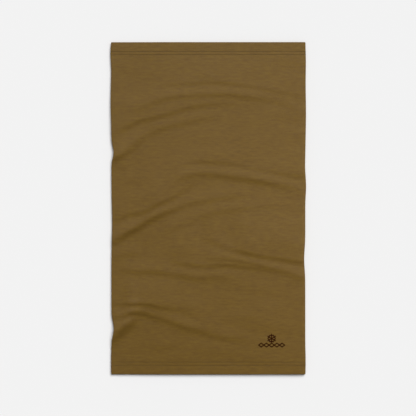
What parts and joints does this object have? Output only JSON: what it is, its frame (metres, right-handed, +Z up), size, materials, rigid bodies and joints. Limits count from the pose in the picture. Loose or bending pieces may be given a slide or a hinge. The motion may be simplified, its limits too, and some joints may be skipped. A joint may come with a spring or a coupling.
{
  "type": "neck gaiter",
  "caption": "Tube of thin jersey, lying flat, open at both ends and hemmed at both mouths, worn round the neck and face for warmth, with a small printed mark in one corner.",
  "frame": {"origin": "on the surface the gaiter lies on, under the middle of the flat tube", "axes": "+Z up through the printed face, +Y along the tube towards the mouth away from the print, +X across it towards the plain fold"},
  "size_m": [0.245, 0.42, 0.0086],
  "materials": {
    "jersey": "fine knitted jersey, matt",
    "thread": "spun polyester sewing thread",
    "satin": "woven satin ribbon",
    "print": "matt heat-transferred film"
  },
  "bodies": {
    "tube": {"jersey_panel": "jersey", "top_hem_upper_needle_thread": "thread", "top_hem_lower_needle_thread": "thread", "top_hem_looper_thread": "thread", "bottom_hem_lower_needle_thread": "thread", "bottom_hem_upper_needle_thread": "thread", "bottom_hem_looper_thread": "thread", "side_seam_inner_needle_thread": "thread", "side_seam_outer_needle_thread": "thread", "side_seam_upper_looper_thread": "thread", "side_seam_lower_looper_thread": "thread", "printed_mark": "print"},
    "label": {"care_label": "satin"}
  },
  "joints": [
    {"name": "label_flap", "type": "hinge", "parent": "tube", "child": "label", "pos_m": [-0.115, -0.145, 0.0009], "axis": [0, -1, 0], "range_deg": [0, 5]}
  ]
}
